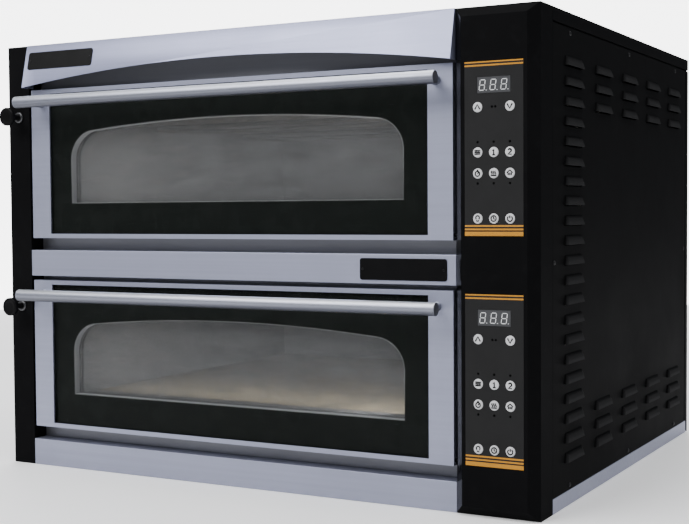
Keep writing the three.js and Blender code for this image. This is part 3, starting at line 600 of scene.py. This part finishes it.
def arch_points(deck, grow=0.0):
    """Outline of a window: square lower corners, rounded upper ones and a shallow arched top."""
    steps = 24
    low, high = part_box(f"{deck}_door_inner_glass")
    margin = 0.3 * MM + grow
    centre = (low.x + high.x) / 2
    half = (high.x - low.x) / 2 + margin
    bottom = low.z - margin
    apex = high.z + margin
    arch = 2790 * MM + grow   # radii of the arched top and of the corners that it runs into
    corner = 50 * MM + grow
    arch_z = apex - arch
    corner_x = half - corner
    corner_z = arch_z + math.sqrt((arch - corner) ** 2 - corner_x ** 2)
    lean = math.degrees(math.atan2(corner_x, corner_z - arch_z))
    points = [(centre - half, bottom), (centre + half, bottom)]
    points += arc(centre + corner_x, corner_z, corner, 0, 90 - lean, steps)
    points += arc(centre, arch_z, arch, 90 - lean, 90 + lean, 2 * steps)[1:]
    points += arc(centre - corner_x, corner_z, corner, 90 + lean, 180, steps)[1:]
    return points


def door_trim(deck):
    """Black border printed on the glass, and the pale edge line of the window."""
    low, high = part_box(f"{deck}_door_glass")
    behind_glass = high.y + 0.1 * MM
    line_width = 1.2 * MM
    outline = [(low.x, low.z), (high.x, low.z), (high.x, high.z), (low.x, high.z)]
    plate(f"{deck}_glass_border", outline, [arch_points(deck)], behind_glass, BORDER_INK, f"{deck}_door")
    edge = arch_points(deck, 0.4 * MM)
    strip, quads = ribbon(edge, line_width, closed=True)
    thicken(piece(f"{deck}_window_line", [(v.x, behind_glass - 0.05 * MM, v.y) for v in strip], quads,
                  EDGE_LINE, f"{deck}_door"))


def mouth_gasket(deck):
    """Heat-proof cord round the chamber mouth, which the closed door presses on."""
    plate_low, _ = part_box("front_plate")
    radius = 1.5 * MM
    points = [(px, plate_low.y - radius, pz) for px, pz in arch_points(deck, 14 * MM)]
    tube(f"{deck}_mouth_gasket", points, radius, GASKET, "casing", closed=True)


def chamber_lamp(deck):
    """Round oven lamp in the right-hand chamber wall."""
    low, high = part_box(f"{deck}_chamber")
    wall = high.x - 1.3 * MM  # just inside the wall's sheet
    centre = (wall, low.y + 0.45 * (high.y - low.y), high.z - 62 * MM)
    towards_left = Matrix.Rotation(-math.pi / 2, 4, "Z")
    inner = 17 * MM
    outer = 24 * MM
    edge = 16.8 * MM
    ring = [(inner, 0), (outer, 0), (outer, -5 * MM), (inner, -7 * MM), (inner, 0)]
    turned(f"{deck}_lamp_ring", ring, centre, CHROME, "casing", 1 * MM, 48, towards_left)
    lens = [(0, -6 * MM), (10 * MM, -5.4 * MM), (edge, -3 * MM), (edge, 0), (0, 0)]
    turned(f"{deck}_lamp_lens", lens, centre, LAMP_LIGHT, "casing", 1 * MM, 48, towards_left)


# ---------------------------------------------------------------- control panels

# The keys' signs, as paths in millimetres about the key's centre.
ICONS = {
    "up": [[(-3.9, -3.2), (0, 3.6), (3.9, -3.2)]],
    "down": [[(-3.9, 3.2), (0, -3.6), (3.9, 3.2)]],
    "set": [[(-4.6, 2.4), (4.6, 2.4)], [(-4.6, 0), (4.6, 0)], [(-4.6, -2.4), (4.6, -2.4)],
            [(-1.8, 3.6), (-1.8, 1.2)], [(2, 1.2), (2, -1.2)], [(-0.6, -1.2), (-0.6, -3.6)]],
    "preset_1": [[(-1.8, 2), (0.4, 3.9), (0.4, -3.9)], [(-1.8, -3.9), (2.6, -3.9)]],
    "preset_2": [arc(0, 1.6, 2.3, 165, -30, 10) + [(-2.5, -3.8), (2.8, -3.8)]],
    "timer": [arc(0, -0.6, 3.5, 0, 360), [(0, -0.6), (1.8, 1.2)],
              [(-1.2, 4.6), (1.2, 4.6)], [(0, 4.6), (0, 3)]],
    "floor_heat": [[(-4.4, -3.4), (4.4, -3.4)]]
                  + [[(x, -2), (x + 0.9, -0.4), (x - 0.9, 1.6), (x, 3.4)] for x in (-2.8, 0, 2.8)],
    "roof_heat": [[(-4.4, 0), (0, 4), (4.4, 0)]] + [[(x, 0.2), (x, -3.4)] for x in (-2.4, 0, 2.4)],
    "lamp": [arc(0, 1.2, 2.8, -50, 230), [(-1.3, -2), (-1.2, -4), (1.2, -4), (1.3, -2)]],
    "clock": [arc(0, 0, 4, 0, 360), [(0, 2.6), (0, 0), (2, -1.2)]],
    "power": [arc(0, -0.3, 3.8, 125, 415), [(0, 0.2), (0, 4.4)]],
}


def key(deck, name):
    """Round key cap with a softly domed face and its printed sign, bolder if that is a single line."""
    node = f"{deck}_key_{name}"
    body = f"{node}_press"
    low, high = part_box(node)
    centre = ((low.x + high.x) / 2, 0, (low.z + high.z) / 2)
    flange = (high.z - low.z) / 2
    radius = flange - 1.2 * MM
    rim = radius - 1.2 * MM
    shoulder = high.y - 1.5 * MM
    profile = [(0, low.y), (rim, low.y + 0.06 * MM), (radius, low.y + 0.9 * MM),
               (radius, shoulder), (flange, shoulder), (flange, high.y), (0, high.y)]
    cap = turned(f"{node}_cap", profile, centre, KEY_PLASTIC, body, 0.3 * MM, 48)
    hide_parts(node)
    stroke = 2.3 if len(ICONS[name]) == 1 else 1.9
    ink(f"{node}_sign", ICONS[name], stroke, centre[0], low.y - 0.04 * MM, centre[2], ICON_INK, body)


def seven_segments(deck):
    """Three lit figures of seven bars and a point each, on the display's grey face."""
    panel_low, panel_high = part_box(f"{deck}_control_panel")
    board_low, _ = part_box(f"{deck}_display_board")
    y = board_low.y - 0.1 * MM
    centre_x = (panel_low.x + panel_high.x) / 2 - 1 * MM
    centre_z = panel_low.z + 216.75 * MM
    pitch = 16.6 * MM
    # one figure, in millimetres about its middle; its bars run between the corners of two stacked squares
    stroke = 0.95
    half_wide = 3.9
    half_tall = 7.4
    lean = 0.14
    bar_share = 0.8
    bars = [((-1, 1), (1, 1)), ((-1, 0), (1, 0)), ((-1, -1), (1, -1)), ((-1, 0), (-1, 1)),
            ((1, 0), (1, 1)), ((-1, -1), (-1, 0)), ((1, -1), (1, 0))]
    strokes = []
    for (ax, az), (bx, bz) in bars:
        mid_x, mid_z = (ax + bx) / 2, (az + bz) / 2
        ends = [(mid_x + (px - mid_x) * bar_share, mid_z + (pz - mid_z) * bar_share)
                for px, pz in ((ax, az), (bx, bz))]
        strokes.append([(px * half_wide + lean * pz * half_tall, pz * half_tall) for px, pz in ends])
    strokes.append([(5.6, -half_tall), (6.9, -half_tall)])
    for place in (-1, 0, 1):
        ink(f"{deck}_figure_{place + 2}", strokes, stroke, centre_x + place * pitch, y, centre_z,
            DIGIT_LIGHT, "casing")


def panel_print(deck):
    """Orange lines across a control panel's ends and the small signal lamps between its keys."""
    low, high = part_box(f"{deck}_control_panel")
    # heights in millimetres above the panel's lower edge
    lines = [(248.7, 250.7), (243.8, 246.1), (13.3, 15.7), (8.3, 10.8), (0.1, 6.2)]
    arrow_lamps = 185.3
    key_lamps = (135.1, 75.7)
    for index, (start, end) in enumerate(lines):
        box_piece(f"{deck}_panel_line_{index + 1}",
                  (low.x + 0.2 * MM, low.y - 0.12 * MM, low.z + start * MM),
                  (high.x - 0.2 * MM, low.y + 0.1 * MM, low.z + end * MM), ORANGE_INK, "casing")
    centre_x = (low.x + high.x) / 2
    key_spacing = 24.8
    spots = [(-2.6, arrow_lamps), (2.6, arrow_lamps)]
    spots += [(key_spacing * column, up) for up in key_lamps for column in (-1, 0, 1)]
    profile = [(0, -0.3 * MM), (1.6 * MM, -0.2 * MM), (1.9 * MM, 0.1 * MM), (0, 0.1 * MM)]
    for index, (x, up) in enumerate(spots):
        turned(f"{deck}_signal_{index + 1}", profile, (centre_x + x * MM, low.y, low.z + up * MM),
               ICON_INK, "casing", 0.1 * MM, 20)


# ---------------------------------------------------------------- screws, badges, back

def screw(name, point, outward, radius=3.6 * MM):
    """Pan-head screw with a cross recess; outward is the face's normal."""
    swing = Vector((0, -1, 0)).rotation_difference(Vector(outward)).to_matrix().to_4x4()
    rise = 1.7 * MM
    sunk = 0.1 * MM
    profile = [(0, -rise), (radius * 0.55, -rise * 0.92), (radius * 0.9, -rise * 0.5),
               (radius, sunk), (0, sunk)]
    turned(name, profile, point, DARK_SCREW, "casing", 0.2 * MM, 28, swing)
    arm = radius * 0.55
    width = radius * 0.2
    top = -rise - 0.03 * MM
    cross = [(-arm, top, -width), (arm, top, -width), (arm, top, width), (-arm, top, width),
             (-width, top, -arm), (width, top, -arm), (width, top, arm), (-width, top, arm)]
    place = Matrix.Translation(point) @ swing
    thicken(piece(f"{name}_cross", [place @ Vector(v) for v in cross], [(0, 1, 2, 3), (4, 5, 6, 7)],
                  BLACK_PLASTIC, "casing"))


def column_facet():
    """Glossy lacquer on the control column's left chamfer, half sunk; it mirrors the doors and bands."""
    low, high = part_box("right_column")
    left = high.x - COLUMN_WIDTH
    lift = 0.15 * MM
    inset = 1.2 * MM
    corners = []
    for across in (inset, CHAMFER - inset):
        for z in (low.z + across + inset, high.z - across - inset):
            for rise in (-lift, lift):
                corners.append((left + across - rise, low.y + CHAMFER - across - rise, z))
    piece("column_facet", corners, BLOCK_FACES, LACQUER, "casing")


def side_screws():
    """Eight case screws on a side panel: three along its top, one near each end, three along its foot."""
    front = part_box("base_pan")[0].y
    # millimetres back from the casing's front, and up from the floor
    spots = [(127.6, 712), (437.5, 712), (747, 712), (56.5, 370.5), (816, 369.5),
             (125, 31), (436, 31), (744, 31)]
    for side, label in ((1, "right"), (-1, "left")):
        for index, (back, up) in enumerate(spots):
            point = (side * PANEL_FACE, front + back * MM, up * MM)
            screw(f"{label}_side_screw_{index + 1}", point, (side, 0, 0))


def badges():
    """Plain black plates on the visor and the middle band, each held by two small screws."""
    thickness = 1.4 * MM
    corner = 4 * MM
    screw_inset = 5 * MM
    screw_lift = 1.3 * MM
    low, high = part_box("visor")
    rise = high.z - low.z
    setback = 17 * MM  # of the visor's top edge behind its lower one
    visor_z = 714.5 * MM
    visor_y = low.y + setback * (visor_z - low.z) / rise
    band_low, band_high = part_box("middle_band")
    band_z = (band_low.z + band_high.z) / 2 - 0.4 * MM
    spots = [
        ("visor_badge", -372.8 * MM, visor_y, visor_z, 142.5 * MM, 31 * MM, -math.atan2(setback, rise)),
        ("band_badge", 281.5 * MM, band_low.y, band_z, 145.7 * MM, 33.3 * MM, 0.0),
    ]
    for name, x, y, z, width, height, tilt in spots:
        rounded_plate(name, (x, y, z), (width, thickness, height), corner, BLACK_PLASTIC, "casing", tilt)
        normal = Matrix.Rotation(tilt, 3, "X") @ Vector((0, -1, 0))
        for side in (-1, 1):
            point = Vector((x + side * (width / 2 - screw_inset), y, z)) + normal * screw_lift
            screw(f"{name}_screw_{side + 2}", point, normal, 1.9 * MM)


def lead_gland(back):
    """The mains lead's gland: a flange on either side of the rear panel, and a ribbed dome outside."""
    low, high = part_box("cable_gland")
    centre = ((low.x + high.x) / 2, 0, (low.z + high.z) / 2)
    outside = back + 0.3 * MM
    inside = back - 1.5 * MM
    bore = 4.5 * MM
    mouth = 8 * MM
    dome = 11 * MM
    flange = 13.8 * MM
    neck = 9.7 * MM
    profile = [(bore, low.y), (flange, low.y), (flange, inside), (neck, inside), (neck, outside),
               (flange, outside), (flange, outside + 6 * MM), (dome, outside + 7 * MM),
               (dome, outside + 17 * MM), (mouth, high.y), (bore, high.y), (bore, low.y)]
    gland = turned("lead_gland", profile, centre, BLACK_PLASTIC, "casing", 0.6 * MM, 48)
    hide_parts("cable_gland")
    ribs = 18
    rib_circle = dome + 0.1 * MM
    rib_radius = 0.7 * MM
    rib = [(0, 8 * MM), (rib_radius, 8 * MM), (rib_radius, 16 * MM), (0, 16 * MM)]
    for index in range(ribs):
        angle = 2 * math.pi * index / ribs
        point = (centre[0] + rib_circle * math.cos(angle), outside, centre[2] + rib_circle * math.sin(angle))
        turned(f"gland_rib_{index + 1}", rib, point, BLACK_PLASTIC, "casing", 0.2 * MM, 8)


def rear_details():
    """Screws round the rear panel, the lead's gland and a blank rating plate."""
    low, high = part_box("rear_panel")
    back = high.y
    side_inset = 30 * MM
    edge_inset = 18 * MM
    xs = [low.x + side_inset, low.x / 2, 0, high.x / 2, high.x - side_inset]
    spots = [(x, z) for x in xs for z in (low.z + edge_inset, high.z - edge_inset)]
    spots += [(x, (low.z + high.z) / 2) for x in (xs[0], xs[-1])]
    for index, (x, z) in enumerate(spots):
        screw(f"rear_screw_{index + 1}", (x, back, z), (0, 1, 0))
    lead_gland(back)
    # The rating plate takes the handles' metal, with its painted highlight on faces that point up and
    # painted shade on faces that point down.
    box_piece("rating_plate", (300 * MM, back, 120 * MM), (390 * MM, back + 0.6 * MM, 170 * MM),
              HANDLE_METAL, "casing", 0.2 * MM)


for deck in DECKS:
    door_handle(deck)
    vent_knob(deck)
    heaters(deck)
    door_trim(deck)
    mouth_gasket(deck)
    chamber_lamp(deck)
    seven_segments(deck)
    panel_print(deck)
    for key_name in ICONS:
        key(deck, key_name)
column_facet()
side_screws()
badges()
rear_details()


# ---------------------------------------------------------------- studio

# The photograph's camera, fitted to the casing's edges; the lens is in millimetres on a 36 mm sensor.
VIEW_FROM = (1.12906, -2.15646, 0.44974)
VIEW_AZIMUTH = math.radians(28.693)
VIEW_ELEVATION = math.radians(2.32)
VIEW_ROLL = math.radians(-0.398)
VIEW_LENS = 66.93
OVEN_MIDDLE = 0.35  # the height that the softboxes aim at
FLOOR_GLOW = 0.25
BACKDROP_GLOW = 4.5


def stage_piece(name, profile, half_width, material):
    """A staged sheet swept sideways across the view from (away from the camera, height) points."""
    turn = Matrix.Rotation(VIEW_AZIMUTH, 4, "Z")
    vertices = [turn @ Vector((x, y, z)) for y, z in profile for x in (-half_width, half_width)]
    faces = [(2 * i, 2 * i + 1, 2 * i + 3, 2 * i + 2) for i in range(len(profile) - 1)]
    mesh = bpy.data.meshes.new(name)
    mesh.from_pydata([tuple(v) for v in vertices], [], faces)
    mesh.materials.append(material)
    mesh.polygons.foreach_set("use_smooth", [True] * len(mesh.polygons))
    made = bpy.data.objects.new(name, mesh)
    bpy.context.scene.collection.objects.link(made)


def studio_paper(name, glow):
    """Matt white paper lit through from behind."""
    graph = Graph(name, (0.86, 0.86, 0.87), 0.85)
    fibres = graph.noise((160, 160, 160), 4.0)
    graph.set("Base Color", graph.mix(graph.spread(fibres, 0, 1), (0.87, 0.87, 0.88), (0.84, 0.84, 0.85)))
    graph.set("Emission Color", (1, 1, 1, 1))
    graph.set("Emission Strength", glow)
    graph.bump(fibres, 0.1 * MM)
    return graph.material


def backdrop():
    """Pale floor, and behind the oven a lit paper sweep that curves up from it."""
    floor_level = -0.5 * MM
    floor_near = -7
    floor_far = 9
    floor_half_width = 9
    stage_piece("floor", [(floor_near, floor_level), (floor_far, floor_level)], floor_half_width,
                studio_paper("floor_paper", FLOOR_GLOW))
    start = 3.5
    bend = 1.2
    top = 5
    half_width = 2.6
    steps = 16
    sweep = [(start, 0)]
    for step in range(1, steps + 1):
        angle = math.pi / 2 * step / steps
        sweep.append((start + bend * math.sin(angle), bend * (1 - math.cos(angle))))
    sweep.append((start + bend, top))
    stage_piece("backdrop", sweep, half_width, studio_paper("backdrop_paper", BACKDROP_GLOW))


def area_light(name, width, height, power):
    """A rectangular light, still to be placed and turned."""
    light = bpy.data.lights.new(name, "AREA")
    light.shape = "RECTANGLE"
    light.size = width
    light.size_y = height
    light.energy = power
    made = bpy.data.objects.new(name, light)
    bpy.context.scene.collection.objects.link(made)
    return made


def softbox(name, azimuth, elevation, distance, width, height, power):
    """Area light aimed at the oven's middle from a direction given in degrees."""
    around = math.radians(azimuth)
    up = math.radians(elevation)
    direction = Vector((math.sin(around) * math.cos(up), -math.cos(around) * math.cos(up), math.sin(up)))
    made = area_light(name, width, height, power)
    made.location = Vector((0, 0, OVEN_MIDDLE)) + direction * distance
    made.rotation_euler = direction.to_track_quat("Z", "Y").to_euler()


def chamber_glow(deck):
    """Soft lights in a chamber: one aimed back from its upper front corner, one at its left wall."""
    low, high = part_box(f"{deck}_chamber")
    # name, width, height, watts, spread in degrees, place, and its turns about X and Y in degrees
    strips = [
        ("back", 0.6, 0.03, 0.55, 100, ((low.x + high.x) / 2, low.y + 50 * MM, high.z - 24 * MM), (40, 0)),
        ("left", 0.05, 0.06, 0.8, 140, (high.x - 32 * MM, low.y + 60 * MM, low.z + 120 * MM), (0, 90)),
    ]
    for name, width, height, power, spread, place, (tip, swing) in strips:
        made = area_light(f"{deck}_glow_{name}", width, height, power)
        made.data.spread = math.radians(spread)
        made.location = place
        made.rotation_euler = (math.radians(tip), math.radians(swing), 0)
        made.visible_camera = False
        made.visible_glossy = False


def camera():
    """Camera at the photograph's angle, fitted to the casing's edges."""
    data = bpy.data.cameras.new("camera")
    data.lens = VIEW_LENS
    data.sensor_width = 36
    made = bpy.data.objects.new("camera", data)
    tilt = Matrix.Rotation(math.pi / 2 - VIEW_ELEVATION, 4, "X")
    aim = Matrix.Rotation(VIEW_AZIMUTH, 4, "Z") @ tilt @ Matrix.Rotation(VIEW_ROLL, 4, "Z")
    made.matrix_world = Matrix.Translation(VIEW_FROM) @ aim
    bpy.context.scene.collection.objects.link(made)
    bpy.context.scene.camera = made


def room():
    """Faint, cool light from all round."""
    world = bpy.data.worlds.new("studio")
    world.use_nodes = True
    background = world.node_tree.nodes["Background"]
    background.inputs["Color"].default_value = (0.90, 0.93, 1.0, 1)
    background.inputs["Strength"].default_value = 0.3
    bpy.context.scene.world = world


room()
camera()
backdrop()
softbox("key_light", -25, 38, 3.6, 2.6, 1.6, 115)
softbox("side_light", 60, 55, 3.8, 2.0, 2.0, 45)
softbox("top_light", 10, 85, 3.2, 3.2, 3.2, 90)
for deck in DECKS:
    chamber_glow(deck)
